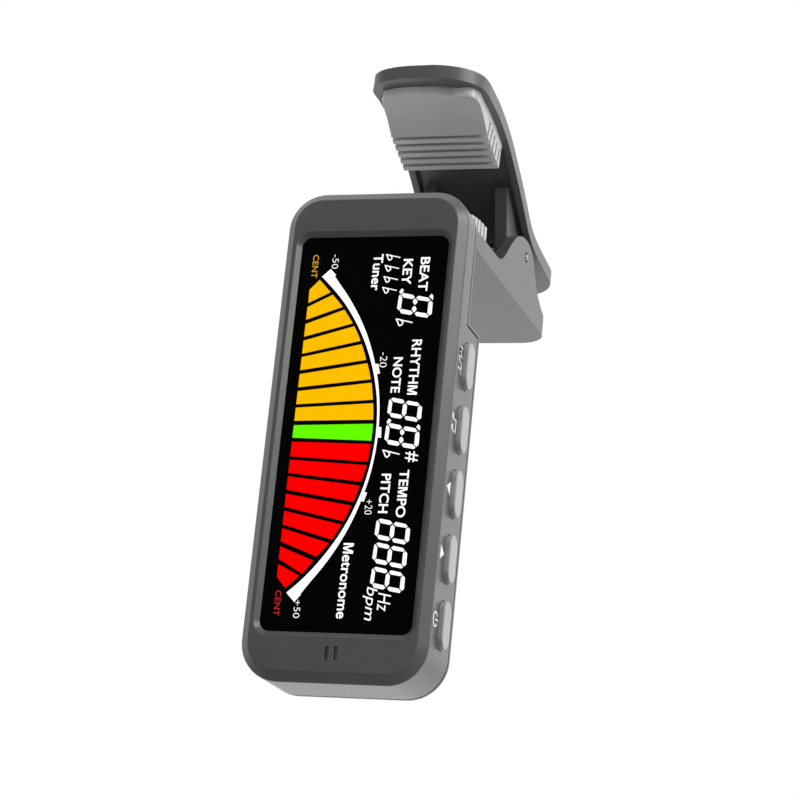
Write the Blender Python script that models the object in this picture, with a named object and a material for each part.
"""Clip-on instrument tuner, modelled as its separate pieces.

Frame: metres, +Z up, display facing -Y, buttons on +X.
Origin: centre of the body's bottom end face.
All the dimensions below are in millimetres. A point is written (x, depth, z):
x to the button side, depth measured back from the front face of the body,
z the height above the bottom end. The clip stands behind the body's upper end:
a fixed base below, a lever above it, hinged on a pin along X.
"""

import math

import bmesh
import bpy
from mathutils import Vector

# ---------------------------------------------------------- main dimensions
BODY_WIDTH = 31.0
BODY_HEIGHT = 82.0
BODY_DEPTH = 13.0        # lower, thick part
SLIM_DEPTH = 6.5         # above the step
STEP_Z = 61.0            # height of the step in the back
TOP_RADIUS = 6.0         # upper corners
BOTTOM_RADIUS = 6.5      # lower corners
COVER_SLIM = 1.15        # back cover thickness, upper plate
COVER_THICK = 0.85       # back cover thickness, lower plate
COVER_STEP = 0.9         # back cover thickness, step wall
GAP = 0.06               # seam between shells
SLIM_INNER = SLIM_DEPTH - COVER_SLIM     # inner face of the upper plate
THICK_INNER = BODY_DEPTH - COVER_THICK   # inner face of the lower plate
STEP_INNER_Z = STEP_Z - COVER_STEP       # inner face of the step wall
PAST_BACK = 20.0         # depth at which cutters end, clear of the body

BUTTON_NAMES = ("mode", "note", "up", "down", "power")
BUTTON_PITCH = 10.68
BUTTONS = [(name, 53.70 - BUTTON_PITCH * i) for i, name in enumerate(BUTTON_NAMES)]
BUTTON_DEPTH = 6.85      # depth of the button centres
BUTTON_LENGTH = 7.7
BUTTON_WIDTH = 3.7
BUTTON_PROUD = 0.9

CELL_X, CELL_Z = CELL = (-2.3, 22.0)     # centre of coin cell and battery door
SWIVEL = (0.0, 71.5)                     # swivel axis (x, z), along the depth
TILT = (15.8, SWIVEL[1])                 # tilt axis (depth, z), along X
PIN_DEPTH, PIN_Z = PIN = (55.72, 91.28)  # hinge pin (depth, z), along X
PIN_RADIUS = 0.85
CLIP_HALF = 10.1                         # half width of the clip

FRAME_DEPTH = BODY_DEPTH / 2.0           # depth of the frame's origin
SWIVEL_ORIGIN = (0.0, SLIM_DEPTH, SWIVEL[1])
TILT_ORIGIN = (0.0, *TILT)
PIN_ORIGIN = (0.0, *PIN)

# Two rows of cover screws, left and right of the middle. Columns:
# x, z, cover inner face, cover outer face, depth of the head's seat, tip depth
SCREWS = [
    (side * x, *rest)
    for x, *rest in (
        (11.0, 78.0, SLIM_INNER, SLIM_DEPTH, 0.46, 3.0),
        (9.5, 4.2, THICK_INNER, BODY_DEPTH, 0.38, 6.0),
    )
    for side in (-1, 1)
]


# ------------------------------------------------------------ scene helpers
def clear_scene():
    for obj in list(bpy.data.objects):
        bpy.data.objects.remove(obj, do_unlink=True)


def material(name, colour, roughness, metallic=0.0):
    mat = bpy.data.materials.new(name)
    mat.use_nodes = True
    bsdf = mat.node_tree.nodes["Principled BSDF"]
    bsdf.inputs["Base Color"].default_value = (*colour, 1.0)
    bsdf.inputs["Roughness"].default_value = roughness
    bsdf.inputs["Metallic"].default_value = metallic
    mat.diffuse_color = (*colour, 1.0)
    return mat


def world(point):
    """A (x, depth, z) point in mm as frame coordinates in metres."""
    x, depth, z = point
    return (x * 0.001, (depth - FRAME_DEPTH) * 0.001, z * 0.001)


def build(name, shape, mat=None, origin=(0.0, FRAME_DEPTH, 0.0), smooth=None):
    """One object from (points, faces); smooth is its sharp-edge angle in degrees."""
    points, faces = shape
    location = world(origin)
    local = [tuple(w - o for w, o in zip(world(point), location)) for point in points]
    mesh = bpy.data.meshes.new(name)
    mesh.from_pydata(local, [], faces)
    bm = bmesh.new()
    bm.from_mesh(mesh)
    bmesh.ops.remove_doubles(bm, verts=bm.verts, dist=1e-6)
    bmesh.ops.recalc_face_normals(bm, faces=bm.faces)
    if bm.calc_volume(signed=True) < 0:
        bmesh.ops.reverse_faces(bm, faces=bm.faces)
    bm.to_mesh(mesh)
    bm.free()
    obj = bpy.data.objects.new(name, mesh)
    obj.location = location
    bpy.context.scene.collection.objects.link(obj)
    if mat is not None:
        mesh.materials.append(mat)
    if smooth is not None:
        mesh.shade_smooth()
        mesh.set_sharp_from_angle(angle=math.radians(smooth))
    return obj


def boolean(target, label, shape, operation="DIFFERENCE"):
    """Adds a Boolean with a hidden helper made from `shape`."""
    tool = build(target.name + "_" + label, shape)
    tool.hide_render = True
    tool.display_type = "WIRE"
    mod = target.modifiers.new(label, "BOOLEAN")
    mod.operation = operation
    mod.solver = "EXACT"
    mod.object = tool


# ----------------------------------------------------------------- outlines
def polar(centre, radius, degrees):
    angle = math.radians(degrees)
    return (centre[0] + radius * math.cos(angle), centre[1] + radius * math.sin(angle))


def disc(centre, radius, sides=24):
    return [polar(centre, radius, 360.0 * i / sides) for i in range(sides)]


def rounded(left, right, low, high, radii, steps=6):
    """Rounded rectangle; radii run right-high, left-high, left-low, right-low."""
    if not isinstance(radii, tuple):
        radii = (radii,) * 4
    corners = (
        (right, high, -1, -1, 0), (left, high, 1, -1, 90),
        (left, low, 1, 1, 180), (right, low, -1, 1, 270),
    )
    outline = []
    for (across, up, sign_across, sign_up, start), radius in zip(corners, radii):
        centre = (across + sign_across * radius, up + sign_up * radius)
        outline += [polar(centre, radius, start + 90.0 * i / steps) for i in range(steps + 1)]
    return outline


def pill(z, width, length, steps=6):
    """A (depth, z) outline with round ends, on the line of the buttons."""
    half = width / 2.0
    return rounded(BUTTON_DEPTH - half, BUTTON_DEPTH + half,
                   z - length / 2.0, z + length / 2.0, half * 0.98, steps)


def spline(points, steps):
    """Catmull-Rom curve through the points, `steps` to each span."""
    padded = [points[0]] + points + [points[-1]]
    curve = []
    for k in range(1, len(padded) - 2):
        for i in range(steps):
            t = i / steps
            curve.append(tuple(
                0.5 * (2 * start + (end - before) * t
                       + (2 * before - 5 * start + 4 * end - after) * t * t
                       + (3 * start - before - 3 * end + after) * t ** 3)
                for before, start, end, after in zip(*padded[k - 1:k + 3])
            ))
    return curve + [points[-1]]


# ------------------------------------------------------------------- solids
def at_depth(outline, depth):
    """An (x, z) outline placed at a depth."""
    return [(x, depth, z) for x, z in outline]


def at_x(outline, x):
    """A (depth, z) outline placed at an x."""
    return [(x, depth, z) for depth, z in outline]


def at_z(outline, z):
    """An (x, depth) outline placed at a height."""
    return [(x, depth, z) for x, depth in outline]


def loft(rings, closed=False):
    """A loft through rings of equal length, capped, or closed round on itself."""
    size, count = len(rings[0]), len(rings)
    points = [point for ring in rings for point in ring]
    faces = []
    if not closed:
        faces = [list(range(size))[::-1], list(range(len(points) - size, len(points)))]
    for k in range(count if closed else count - 1):
        this, following = k * size, (k + 1) % count * size
        for i in range(size):
            j = (i + 1) % size
            faces.append([this + i, this + j, following + j, following + i])
    return points, faces


def extrude(place, outline, start, end):
    """An outline extruded along the axis of `place`, one of at_depth, at_x, at_z."""
    return loft([place(outline, start), place(outline, end)])


def box(x_min, x_max, front, back, bottom, top):
    outline = [(x_min, bottom), (x_max, bottom), (x_max, top), (x_min, top)]
    return extrude(at_depth, outline, front, back)


def turned(place, centre, profile, sides=24, closed=False):
    """A solid of revolution. profile: (radius, position along the axis)."""
    rings = [place(disc(centre, max(radius, 1e-4), sides), along) for radius, along in profile]
    return loft(rings, closed)


def ring_solid(centre, inner, outer, front, back, sides):
    """A flat-ended tube along the depth."""
    profile = [(inner, front), (outer, front), (outer, back), (inner, back)]
    return turned(at_depth, centre, profile, sides, closed=True)


def merge(shapes):
    points, faces = [], []
    for shape_points, shape_faces in shapes:
        base = len(points)
        points += shape_points
        faces += [[base + i for i in face] for face in shape_faces]
    return points, faces


# ---------------------------------------------------------------- materials
clear_scene()
GREY = material("case_grey", colour=(0.085, 0.085, 0.083), roughness=0.42)
LIGHT = material("light_grey_rubber", colour=(0.30, 0.30, 0.295), roughness=0.55)
LENS = material("display_black", colour=(0.006, 0.006, 0.007), roughness=0.12)
GLASS = material("lcd_glass", colour=(0.05, 0.055, 0.05), roughness=0.1)
WHITE = material("light_guide", colour=(0.75, 0.76, 0.75), roughness=0.4)
GREEN = material("circuit_green", colour=(0.02, 0.16, 0.06), roughness=0.5)
BLACK = material("black_plastic", colour=(0.02, 0.02, 0.02), roughness=0.5)
STEEL = material("steel", colour=(0.55, 0.55, 0.56), roughness=0.28, metallic=1.0)
BRASS = material("brass", colour=(0.70, 0.52, 0.22), roughness=0.35, metallic=1.0)

# --------------------------------------------------------------- front case
CHAMFER_ACROSS = 1.53
CHAMFER_DEPTH = 1.42
WALL = 1.4
CAVITY_FRONT = 2.2
WINDOW_HALF = 12.63      # half width of the display window
WINDOW_LOW, WINDOW_HIGH = 7.93, 74.15
WINDOW_RADIUS = 1.7
WINDOW_DEPTH = 0.8       # the window sits this far below the front face
WINDOW_START = -0.25     # the cutter starts this far before the front face
BOSS_RADIUS = 1.6
PILOT_RADIUS = 0.66
SLOT_X = 0.78            # the two sound slots, either side of the middle
SLOT_HALF = 0.22
SLOT_LOW, SLOT_HIGH = 3.38, 5.62


def body_outline(inset=0.0):
    half = BODY_WIDTH / 2 - inset
    top, bottom = TOP_RADIUS - inset, BOTTOM_RADIUS - inset
    return rounded(-half, half, inset, BODY_HEIGHT - inset, (top, top, bottom, bottom), 7)


def lens_outline(grow=0.0):
    return rounded(-13.75 - grow, 13.75 + grow, 6.5 - grow, 75.45 + grow, 2.3 + grow, 4)


def window_outline(grow):
    return rounded(-WINDOW_HALF - grow, WINDOW_HALF + grow,
                   WINDOW_LOW - grow, WINDOW_HIGH + grow, WINDOW_RADIUS + grow, 4)


def front_case():
    case = build("front_case", loft([
        at_depth(body_outline(CHAMFER_ACROSS), 0.0),
        at_depth(body_outline(), CHAMFER_DEPTH),
        at_depth(body_outline(), THICK_INNER - GAP),
    ]), GREY, smooth=30)
    boolean(case, "cavity", extrude(at_depth, body_outline(WALL), CAVITY_FRONT, PAST_BACK))
    boolean(case, "lens_pocket", extrude(at_depth, lens_outline(0.1), 0.86, 2.6))
    # The window's edge flares forward at 45 degrees.
    boolean(case, "window", loft([
        at_depth(window_outline(WINDOW_DEPTH - WINDOW_START), WINDOW_START),
        at_depth(window_outline(0.0), WINDOW_DEPTH),
        at_depth(window_outline(0.0), 1.2),
    ]))
    boolean(case, "rear_step", box(-20, 20, SLIM_INNER - GAP, PAST_BACK, STEP_INNER_Z - GAP, 90))
    boolean(case, "button_holes", merge(
        extrude(at_x, pill(z, BUTTON_WIDTH + 0.2, BUTTON_LENGTH + 0.2), 13.0, 17.0)
        for _, z in BUTTONS
    ))
    boolean(case, "sound_slots", merge(
        extrude(at_depth, rounded(x - SLOT_HALF, x + SLOT_HALF, SLOT_LOW, SLOT_HIGH, 0.2, 3),
                -0.5, 3.0)
        for x in (-SLOT_X, SLOT_X)
    ))
    boolean(case, "bosses", merge(
        extrude(at_depth, disc((x, z), BOSS_RADIUS, 12), 1.9, inner - 0.12)
        for x, z, inner, *_ in SCREWS
    ), "UNION")
    boolean(case, "pilot_holes", merge(
        extrude(at_depth, disc((x, z), PILOT_RADIUS, 8), 2.6, PAST_BACK) for x, z, *_ in SCREWS
    ))


# ------------------------------------------------------------ display stack
def display_stack():
    """Lens, panel and light guide from front to back, and the edge connector."""
    panel = rounded(-13.2, 13.2, 7.0, 75.0, 0.4, 1)
    guide = rounded(-11.3, 13.0, 7.4, 74.6, 0.4, 1)
    build("display_lens", extrude(at_depth, lens_outline(), 0.90, 1.70), LENS)
    build("lcd_panel", extrude(at_depth, panel, 1.76, 2.86), GLASS)
    build("backlight_plate", extrude(at_depth, guide, 2.94, 3.64), WHITE)
    build("lcd_connector", box(-13.0, -11.6, 2.92, 4.24, 14.0, 56.0), BLACK)


# ------------------------------------------------------------ circuit board
BOARD_FRONT, BOARD_BACK = 4.30, 5.10
PART_FRONT = BOARD_BACK + 0.06   # front of the parts on the board's back
# (x, z), with a tongue at the bottom end
BOARD_OUTLINE = [
    (-13.3, 7.0), (-7.0, 7.0), (-7.0, 2.2), (7.0, 2.2),
    (7.0, 7.0), (12.5, 7.0), (12.5, 58.8), (-13.3, 58.8),
]
MICROPHONE = (0.0, 4.6)          # centres (x, z)
BUZZER = (0.0, 46.0)
SENSOR = (-8.2, 66.2)
# profiles (radius, depth)
MICROPHONE_PROFILE = [(0.0, 2.35), (1.9, 2.35), (2.0, 2.45), (2.0, 4.22), (0.0, 4.22)]
BUZZER_PROFILE = [(0.0, 11.15), (4.6, 11.15), (4.6, 11.4), (6.0, 11.4), (6.0, 11.6), (0.0, 11.6)]
SENSOR_PROFILE = [(0.0, 4.7), (2.8, 4.7), (2.8, 4.9), (4.0, 4.9), (4.0, 5.1), (0.0, 5.1)]
# switch body and plunger: (x, half depth, half height)
SWITCH_STATIONS = ((9.0, 1.62, 2.1), (12.0, 1.62, 2.1), (12.0, 0.6, 0.8), (12.3, 0.6, 0.8))


def circuit_board():
    build("circuit_board", extrude(at_depth, BOARD_OUTLINE, BOARD_FRONT, BOARD_BACK), GREEN)


def main_chip():
    build("main_chip", loft([
        at_depth(rounded(-8.5 + inset, 0.5 - inset, 47.5 + inset, 56.5 - inset, 0.3, 1), depth)
        for depth, inset in ((PART_FRONT, 0.0), (BOARD_BACK + 0.8, 0.0), (BOARD_BACK + 1.0, 0.2))
    ]), BLACK)


def round_parts():
    for name, centre, profile, sides, mat in (
        ("microphone", MICROPHONE, MICROPHONE_PROFILE, 20, STEEL),
        ("piezo_buzzer", BUZZER, BUZZER_PROFILE, 24, BRASS),
        ("vibration_sensor", SENSOR, SENSOR_PROFILE, 20, BRASS),
    ):
        build(name, turned(at_depth, centre, profile, sides), mat, smooth=35)


def switches():
    corners = ((-1, -1), (1, -1), (1, 1), (-1, 1))
    for name, z in BUTTONS:
        build("switch_" + name, loft([
            [(x, BUTTON_DEPTH + back * half_depth, z + up * half_height) for back, up in corners]
            for x, half_depth, half_height in SWITCH_STATIONS
        ]), BLACK)


# --------------------------------------------------------------- power cell
CELL_RADIUS = 10.0
CELL_FRONT, CELL_BACK = 7.6, 7.6 + 3.2
HOLDER_BACK = 10.4
HOLDER_SLOT_HALF = 2.6
CONTACT_HALF = 2.2
CONTACT_SHEET = 0.3      # sheet thickness of the contacts


def coin_cell():
    build("coin_cell", turned(at_depth, CELL, [
        (0.0, CELL_FRONT), (8.9, CELL_FRONT), (8.9, CELL_FRONT + 0.25),
        (CELL_RADIUS - 0.1, CELL_FRONT + 0.35), (CELL_RADIUS, CELL_FRONT + 0.6),
        (CELL_RADIUS, CELL_BACK - 0.2), (CELL_RADIUS - 0.25, CELL_BACK), (0.0, CELL_BACK),
    ], 32), STEEL, smooth=35)


def cell_holder():
    ring = ring_solid(CELL, CELL_RADIUS + 0.2, CELL_RADIUS + 0.7, PART_FRONT, HOLDER_BACK, 32)
    holder = build("cell_holder", ring, BLACK, smooth=35)
    for label, front, back in (("contact_slot", 5.9, 12.0), ("foot_slot", 4.0, 6.2)):
        boolean(holder, label, box(CELL_X - HOLDER_SLOT_HALF, CELL_X + HOLDER_SLOT_HALF,
                                   front, back, CELL_Z + 8.0, CELL_Z + 13.0))


def battery_contacts():
    """An angle above the cell, and a leaf bent back to the cell's front face."""
    foot_back = PART_FRONT + CONTACT_SHEET
    low = CELL_Z + CELL_RADIUS + 0.1
    high = CELL_Z + CELL_RADIUS + 4.0
    angle = [
        (PART_FRONT, low), (PART_FRONT, high), (foot_back, high),
        (foot_back, low + CONTACT_SHEET), (10.2, low + CONTACT_SHEET), (10.2, low),
    ]
    leaf = [
        (PART_FRONT, 15.0), (PART_FRONT, 19.0), (7.2, 25.5), (7.2, 28.0),
        (7.5, 28.0), (7.5, 25.3), (foot_back, 18.8), (foot_back, 15.0),
    ]
    for name, outline in (("positive", angle), ("negative", leaf)):
        shape = extrude(at_x, outline, CELL_X - CONTACT_HALF, CELL_X + CONTACT_HALF)
        build("battery_" + name + "_contact", shape, BRASS)


# ----------------------------------------------- back cover and battery door
DOOR_RADIUS = 10.6
LUG_RADIUS = 11.5
LUG_HALF_ANGLE = 12.0
LUG_ANGLES = (90.0, 210.0, 330.0)
BAYONET_TURN = 60.0      # from the notches in the cover to the locked lugs
SOUND_HOLE_RADIUS = 0.6
SOUND_RING_RADIUS = 2.4


def door_opening_outline():
    """A disc outline with three wider arcs, the notches for the lugs."""
    half = LUG_HALF_ANGLE + 2.0
    outline = []
    for lug_angle in LUG_ANGLES:
        angle = lug_angle + BAYONET_TURN
        outline += [polar(CELL, LUG_RADIUS + 0.2, angle - half + 2 * half * i / 4)
                    for i in range(5)]
        outline += [polar(CELL, DOOR_RADIUS + 0.15, angle + half + (120.0 - 2 * half) * i / 10)
                    for i in range(11)]
    return outline


def screw_hole(x, z, outer, seat_depth):
    """A clearance hole with a counterbore for the head."""
    seat = outer - seat_depth - 0.04
    return turned(at_depth, (x, z), [
        (0.0, 4.0), (0.8, 4.0), (0.8, seat), (1.5, seat), (1.5, PAST_BACK), (0.0, PAST_BACK),
    ], 12)


def back_cover():
    cover = build("back_cover", extrude(at_depth, body_outline(), SLIM_INNER, BODY_DEPTH),
                  GREY, smooth=30)
    boolean(cover, "profile", extrude(at_x, [
        (SLIM_INNER - 1, 95), (SLIM_INNER - 1, STEP_INNER_Z), (THICK_INNER, STEP_INNER_Z),
        (THICK_INNER, -5), (BODY_DEPTH + 1, -5), (BODY_DEPTH + 1, STEP_Z),
        (SLIM_DEPTH, STEP_Z), (SLIM_DEPTH, 95),
    ], -25, 25), "INTERSECT")
    boolean(cover, "swivel_hole", extrude(at_depth, disc(SWIVEL, 2.1), 0, PAST_BACK))
    boolean(cover, "door_opening", extrude(at_depth, door_opening_outline(), 8, PAST_BACK))
    boolean(cover, "screw_holes", merge(
        screw_hole(x, z, outer, seat_depth) for x, z, _, outer, seat_depth, _ in SCREWS
    ))
    centres = [BUZZER] + [polar(BUZZER, SOUND_RING_RADIUS, a) for a in range(0, 360, 60)]
    boolean(cover, "sound_holes", merge(
        extrude(at_depth, disc(centre, SOUND_HOLE_RADIUS, 8), 8, PAST_BACK) for centre in centres
    ))


def cover_screws():
    for i, (x, z, _, outer, seat_depth, tip) in enumerate(SCREWS):
        seat = outer - seat_depth
        build("cover_screw_%d" % (i + 1), turned(at_depth, (x, z), [
            (0.0, tip), (0.6, tip + 0.6), (0.6, seat), (1.4, seat),
            (1.4, outer - 0.1), (1.25, outer - 0.02), (0.0, outer - 0.02),
        ], 12), STEEL, smooth=35)


def door_lug(angle):
    arc = [polar(CELL, LUG_RADIUS, angle + share * LUG_HALF_ANGLE)
           for share in (-1, -0.5, 0, 0.5, 1)]
    root = [polar(CELL, 8.5, angle + share * LUG_HALF_ANGLE) for share in (1, 0, -1)]
    return extrude(at_depth, arc + root, 11.30, 12.05)


def battery_door():
    neck = DOOR_RADIUS * 0.93
    door = build("battery_door", turned(at_depth, CELL, [
        (neck, 11.15), (neck, 12.30), (DOOR_RADIUS, 12.30), (DOOR_RADIUS, BODY_DEPTH),
    ], 36), GREY, origin=(CELL_X, BODY_DEPTH, CELL_Z), smooth=30)
    boolean(door, "lugs", merge(door_lug(angle) for angle in LUG_ANGLES), "UNION")
    slot = rounded(CELL_X - 6.5, CELL_X + 6.5, CELL_Z - 0.9, CELL_Z + 0.9, 0.85, 3)
    boolean(door, "coin_slot", extrude(at_depth, slot, BODY_DEPTH - 0.6, 15))


# ------------------------------------------------------------------ buttons
BUTTON_TOP = BODY_WIDTH / 2 + BUTTON_PROUD
FLANGE = 0.9             # added to the button's width and length
# stem, flange and cap with a rounded rim: (x, width, length)
BUTTON_STATIONS = (
    (12.80, 1.4, 2.2), (13.20, 1.4, 2.2),
    (13.20, BUTTON_WIDTH + FLANGE, BUTTON_LENGTH + FLANGE),
    (13.90, BUTTON_WIDTH + FLANGE, BUTTON_LENGTH + FLANGE),
    (13.90, BUTTON_WIDTH, BUTTON_LENGTH),
    (BUTTON_TOP - 0.28, BUTTON_WIDTH, BUTTON_LENGTH),
    (BUTTON_TOP - 0.08, BUTTON_WIDTH - 0.2, BUTTON_LENGTH - 0.2),
    (BUTTON_TOP, BUTTON_WIDTH - 0.56, BUTTON_LENGTH - 0.56),
)


def buttons():
    for name, z in BUTTONS:
        rings = [at_x(pill(z, width, length, 5), x) for x, width, length in BUTTON_STATIONS]
        build("button_" + name, loft(rings), LIGHT,
              origin=(BUTTON_TOP, BUTTON_DEPTH, z), smooth=40)


# --------------------------------------------------------------- swivel hub
EAR_RADIUS = 3.0         # round end of the ears and of the base's tongue
EAR_INNER, EAR_OUTER = 3.05, 5.25        # faces of the ears, from the middle
TILT_PIN_RADIUS = 1.0
TILT_BORE = disc(TILT, TILT_PIN_RADIUS + 0.05, 16)


def swivel_hub():
    hub = build("swivel_hub", turned(at_depth, SWIVEL, [
        (0.0, 5.45), (2.02, 5.45), (2.02, 6.6), (8.5, 6.6), (8.5, 9.2), (8.1, 9.6), (0.0, 9.6),
    ], 32), GREY, origin=SWIVEL_ORIGIN, smooth=30)
    ear = [(9.3, SWIVEL[1] + 4.6), (9.3, SWIVEL[1] - 4.6)]
    ear += [polar(TILT, EAR_RADIUS, angle) for angle in range(-70, 71, 20)]
    boolean(hub, "ears", merge([
        extrude(at_x, ear, EAR_INNER, EAR_OUTER), extrude(at_x, ear, -EAR_OUTER, -EAR_INNER),
    ]), "UNION")
    boolean(hub, "tilt_bore", extrude(at_x, TILT_BORE, -8, 8))
    boolean(hub, "screw_bore", extrude(at_depth, disc(SWIVEL, 0.98, 12), 4, 9.0))


def swivel_fasteners():
    build("swivel_washer", ring_solid(SWIVEL, 1.15, 3.4, 4.96, 5.30, 20),
          STEEL, origin=SWIVEL_ORIGIN, smooth=35)
    build("swivel_screw", turned(at_depth, SWIVEL, [
        (0.0, 4.15), (1.9, 4.15), (2.1, 4.35), (2.1, 4.90),
        (0.92, 4.90), (0.92, 8.4), (0.5, 8.8), (0.0, 8.8),
    ], 16), STEEL, origin=SWIVEL_ORIGIN, smooth=35)


def tilt_pin():
    build("tilt_pin", turned(at_x, TILT, [
        (0.0, -5.7), (0.9, -5.7), (TILT_PIN_RADIUS, -5.6), (TILT_PIN_RADIUS, 5.30),
        (1.6, 5.30), (1.6, 5.7), (1.4, 5.9), (0.0, 5.9),
    ], 16), STEEL, origin=TILT_ORIGIN, smooth=35)


# ---------------------------------------------------------------- clip base
BASE_FRONT, BASE_BACK = 15.0, 75.7
FLOOR_Z = 82.7           # floor of the pad seat and the channel
# the hump that carries the hinge pin, from back to front: (depth, z)
BASE_HUMP = [
    (68.6, 85.9), (65.0, 87.8), (62.3, 90.4), (60.6, 92.7), (57.6, 94.1), (53.6, 94.2),
    (49.4, 93.0), (46.7, 91.1), (44.4, 89.0), (42.2, 86.7), (40.0, 85.0), (37.4, 84.35),
]
# side outline (depth, z): underside and back end, hump, top of the front part
BASE_SIDE = [
    (BASE_FRONT, 80.7), (45.0, 80.95), (BASE_BACK, 81.5), (BASE_BACK, 84.55), (71.5, 85.05),
    *spline(BASE_HUMP, 2),
    (30.0, 84.15), (BASE_FRONT, 83.9),
]


def clip_base():
    base = build("clip_base", extrude(at_x, BASE_SIDE, -CLIP_HALF, CLIP_HALF),
                 GREY, origin=TILT_ORIGIN, smooth=30)
    plan = rounded(-CLIP_HALF, CLIP_HALF, BASE_FRONT, BASE_BACK, (5.5, 5.5, 3.0, 3.0))
    boolean(base, "plan", extrude(at_z, plan, 70, 110), "INTERSECT")
    boolean(base, "pad_seat", box(-8.9, 8.9, 16.15, 38.0, FLOOR_Z, 110))
    channel = rounded(-8.0, 8.0, 30.0, 73.9, (3.8, 3.8, 1.0, 1.0), 4)
    boolean(base, "channel", extrude(at_z, channel, FLOOR_Z, 110))
    tongue = [(21.0, 81.5), (14.2, 81.5)]
    tongue += [polar(TILT, EAR_RADIUS, angle) for angle in range(170, 381, 21)]
    tongue_half = EAR_INNER - 0.1
    boolean(base, "tongue", extrude(at_x, tongue, -tongue_half, tongue_half), "UNION")
    boolean(base, "tilt_bore", extrude(at_x, TILT_BORE, -5, 5))
    boolean(base, "pin_bore", extrude(at_x, disc(PIN, PIN_RADIUS + 0.05, 16), -12, 12))


# ---------------------------------------------------------------- lower pad
LOWER_PAD_HALF = 8.82
CREST_DEPTH, CREST_Z = 33.5, 88.35   # highest point of the fins, at the back
CREST_CURVE = 0.0135                 # fall per squared mm from there
LOWER_FINS = 9
LOWER_PITCH = 2.0
LOWER_FIN = 1.2                      # fin thickness
LOWER_ROOT_Z = 84.05                 # bottom of the grooves


def crest(depth):
    return CREST_Z - CREST_CURVE * (CREST_DEPTH - depth) ** 2


def lower_pad():
    """A comb of fins, drawn from the back forward."""
    comb = [(16.25, FLOOR_Z + 0.06), (33.55, FLOOR_Z + 0.06)]
    for i in range(LOWER_FINS):
        back = CREST_DEPTH - LOWER_PITCH * i
        front = back - LOWER_FIN
        comb += [(back, crest(back - 0.1)), (front, crest(front + 0.1))]
        if i < LOWER_FINS - 1:
            comb += [(front, LOWER_ROOT_Z), (back - LOWER_PITCH, LOWER_ROOT_Z)]
    shape = extrude(at_x, comb, -LOWER_PAD_HALF, LOWER_PAD_HALF)
    build("lower_pad", shape, LIGHT, origin=TILT_ORIGIN)


# ----------------------------------------------------- hinge pin and spring
WIRE_RADIUS = 0.4
COIL_RADIUS = 2.0
COIL_HALF = 3.4          # half length of the coil along X
COIL_TURNS = 5           # plus a half turn
TURN_STEPS = 12


def hinge_pin():
    end = CLIP_HALF + 0.25
    build("hinge_pin", turned(at_x, PIN, [
        (0.0, -end), (0.6, -end), (PIN_RADIUS, -CLIP_HALF),
        (PIN_RADIUS, CLIP_HALF), (0.6, end), (0.0, end),
    ], 16), STEEL, origin=PIN_ORIGIN, smooth=35)


def wire(path, radius, sides=6):
    """Round wire along a polyline, its section turned to follow the path."""
    points = [Vector(point) for point in path]
    x_axis = Vector((1.0, 0.0, 0.0))
    rings = []
    for i, point in enumerate(points):
        before = points[max(i - 1, 0)]
        after = points[min(i + 1, len(points) - 1)]
        tangent = (after - before).normalized()
        across = (x_axis - tangent * x_axis.dot(tangent)).normalized()
        other = tangent.cross(across)
        rings.append([
            tuple(point + across * u + other * v) for u, v in disc((0.0, 0.0), radius, sides)
        ])
    return loft(rings)


def torsion_spring():
    """A leg to the base's floor, the coil round the pin, and an upper leg."""
    steps = COIL_TURNS * TURN_STEPS + TURN_STEPS // 2
    path = [(-COIL_HALF, PIN_DEPTH + 13.5, FLOOR_Z + 0.55)]
    for i in range(steps + 1):
        x = -COIL_HALF + 2 * COIL_HALF * i / steps
        path.append((x, *polar(PIN, COIL_RADIUS, -90.0 - 360.0 * i / TURN_STEPS)))
    path.append((COIL_HALF, PIN_DEPTH + 10.0, PIN_Z - 1.3))
    build("torsion_spring", wire(path, WIRE_RADIUS), STEEL, origin=PIN_ORIGIN, smooth=50)


# -------------------------------------------------------------------- lever
# top of the lever from its front tip to the tab at the back: (depth, z)
LEVER_TOP = [
    (16.2, 112.05), (20.5, 111.8), (25.0, 111.25), (31.0, 110.55), (38.3, 108.5), (45.1, 105.25),
    (51.2, 101.9), (57.0, 98.3), (62.0, 96.75), (70.0, 95.85), (79.6, 95.0),
]
LEVER_WALL = 2.45        # height of the side wall
LEVER_PLATE = 1.25       # thickness of the plate itself
TAB_RADIUS = 6.5
# plan of the round tip, outside and hollow: (distance from the tip, half width)
TIP_OUTER = ((0.0, 1.6), (0.25, 3.2), (0.8, 5.0), (1.5, 6.5),
             (2.6, 8.0), (3.8, 9.0), (5.2, 9.7), (7.5, 10.1))
TIP_INNER = ((0.0, 1.4), (0.2, 2.8), (0.8, 4.6), (1.6, 6.0),
             (2.6, 7.1), (3.8, 7.9), (5.4, 8.5), (7.6, 8.88))


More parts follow.
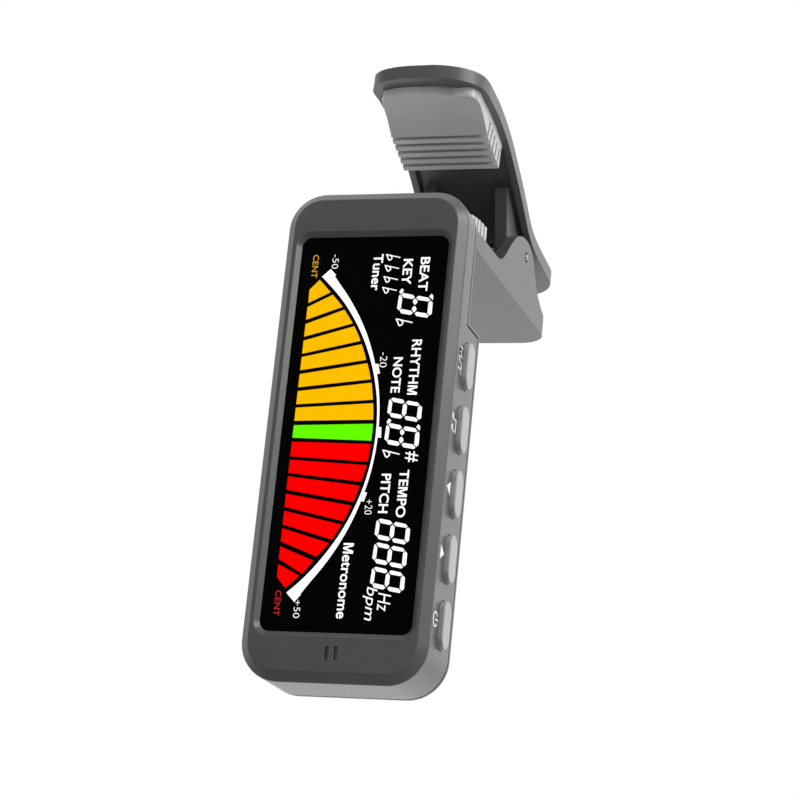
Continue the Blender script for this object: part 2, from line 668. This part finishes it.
class Curve:
    """A (depth, z) curve measured by its length, with its downward normal."""

    def __init__(self, points):
        self.points = points
        self.lengths = [0.0]
        for start, end in zip(points, points[1:]):
            self.lengths.append(self.lengths[-1] + math.dist(start, end))
        self.length = self.lengths[-1]

    def normal(self, k):
        before = self.points[max(k - 1, 0)]
        after = self.points[min(k + 1, len(self.points) - 1)]
        run, rise = after[0] - before[0], after[1] - before[1]
        size = math.hypot(run, rise)
        return (rise / size, -run / size)

    def point(self, along, offset=0.0):
        """The point at a length along the curve, moved down the normal."""
        along = min(max(along, 0.0), self.length)
        k = 0
        while k < len(self.lengths) - 2 and self.lengths[k + 1] < along:
            k += 1
        share = (along - self.lengths[k]) / (self.lengths[k + 1] - self.lengths[k])
        return tuple(
            start + (end - start) * share + (turn + (next_turn - turn) * share) * offset
            for start, end, turn, next_turn in zip(
                self.points[k], self.points[k + 1], self.normal(k), self.normal(k + 1))
        )

    def length_at(self, depth):
        for k in range(len(self.points) - 1):
            start, end = self.points[k][0], self.points[k + 1][0]
            if start <= depth <= end:
                share = (depth - start) / (end - start)
                return self.lengths[k] + share * (self.lengths[k + 1] - self.lengths[k])
        return self.length


LEVER_CURVE = Curve(spline(LEVER_TOP, 6))
HOLLOW_START = 3.2       # length along the curve
HOLLOW_END = LEVER_CURVE.length_at(62.5)


def strip(start, end, tip, end_radius, upper, lower, arc=4, inset=0.0):
    """A curved plate between two offsets, its plan round at both ends."""
    stations = [(start + inset + distance, half - inset) for distance, half in tip]
    first, half = stations[-1]
    last = end - end_radius
    stations += [(first + (last - first) * i / 12, half) for i in range(1, 12)]
    for i in range(arc + 1):
        angle = math.pi / 2 * i / arc
        stations.append((last + end_radius * math.sin(angle),
                         half - end_radius + end_radius * math.cos(angle)))
    rings = []
    for along, half in stations:
        top = LEVER_CURVE.point(along, upper)
        bottom = LEVER_CURVE.point(along, lower)
        rings.append([(-half, *top), (half, *top), (half, *bottom), (-half, *bottom)])
    return loft(rings)


def clip_lever():
    lever = build("clip_lever", strip(0.0, LEVER_CURVE.length, TIP_OUTER, TAB_RADIUS,
                                      0.0, LEVER_WALL), GREY, origin=PIN_ORIGIN, smooth=30)
    boolean(lever, "hollow", strip(HOLLOW_START, HOLLOW_END, TIP_INNER, 0.8,
                                   LEVER_PLATE, LEVER_WALL + 1.6, arc=3))
    # The lugs run from inside the plate down round the hinge pin.
    lug = [LEVER_CURVE.point(LEVER_CURVE.length_at(depth), LEVER_PLATE - 0.55)
           for depth in (47.6, 49.6, 52.0, 55.0, 58.0, 60.5)]
    lug += [polar(PIN, 3.1, angle) for angle in range(20, -91, -22)]
    lug += [(50.2, 88.6), (48.05, 96.0), (46.35, 101.3), (47.4, 101.7)]
    boolean(lever, "lugs", merge([
        extrude(at_x, lug, 5.7, 7.92), extrude(at_x, lug, -7.92, -5.7),
    ]), "UNION")
    boolean(lever, "pin_bore", extrude(at_x, disc(PIN, PIN_RADIUS + 0.07, 16), -9, 9))


# ---------------------------------------------------------------- upper pad
PAD_END = LEVER_CURVE.length_at(40.5)    # length along the lever's curve
PAD_OFFSET = LEVER_WALL - 0.1            # rear corners, below the lever's top
FACE_START = (28.2, 103.85)              # front of the finned face (depth, z)
FACE_SLOPE = math.radians(17.0)          # the face falls towards the back
UPPER_FINS = 5
UPPER_PITCH = 1.83
UPPER_GROOVE = 0.75
UPPER_FIN_HEIGHT = 3.2
# round front of the pad's underside, to the finned face: (depth, z)
PAD_NOSE = [(20.3, 107.7), (20.9, 107.15), (22.8, 106.8), (24.9, 105.95), (27.0, 104.5), FACE_START]


def on_face(along, up):
    """A (depth, z) point from lengths back along the finned face and up from it."""
    cosine, sine = math.cos(FACE_SLOPE), math.sin(FACE_SLOPE)
    return (FACE_START[0] + cosine * along + sine * up,
            FACE_START[1] - sine * along + cosine * up)


def upper_pad():
    outline = list(PAD_NOSE)
    for i in range(UPPER_FINS):
        front = UPPER_PITCH * i
        outline += [
            on_face(front + 0.02, UPPER_FIN_HEIGHT),
            on_face(front + UPPER_GROOVE, UPPER_FIN_HEIGHT),
            on_face(front + UPPER_GROOVE, 0.0),
            on_face(front + UPPER_PITCH, 0.0),
        ]
    rear_depth = outline[-1][0] + 1.6
    outline.append(LEVER_CURVE.point(LEVER_CURVE.length_at(rear_depth), PAD_OFFSET))
    outline.append(LEVER_CURVE.point(PAD_END, PAD_OFFSET))
    outline += [LEVER_CURVE.point(PAD_END * i / 8) for i in range(8, -1, -1)]
    pad = build("upper_pad", extrude(at_x, outline, -9.5, 9.5), LIGHT, origin=PIN_ORIGIN)
    # Trimmed to the lever's hollow, with a little play.
    boolean(pad, "plan", strip(HOLLOW_START, PAD_END, TIP_INNER, 0.4,
                               LEVER_PLATE + 0.15, 9.8, arc=3, inset=0.07), "INTERSECT")


for make_piece in (
    front_case, display_stack, circuit_board, main_chip, round_parts, switches,
    coin_cell, cell_holder, battery_contacts, back_cover, cover_screws, battery_door,
    buttons, swivel_hub, swivel_fasteners, tilt_pin, clip_base, lower_pad,
    hinge_pin, torsion_spring, clip_lever, upper_pad,
):
    make_piece()
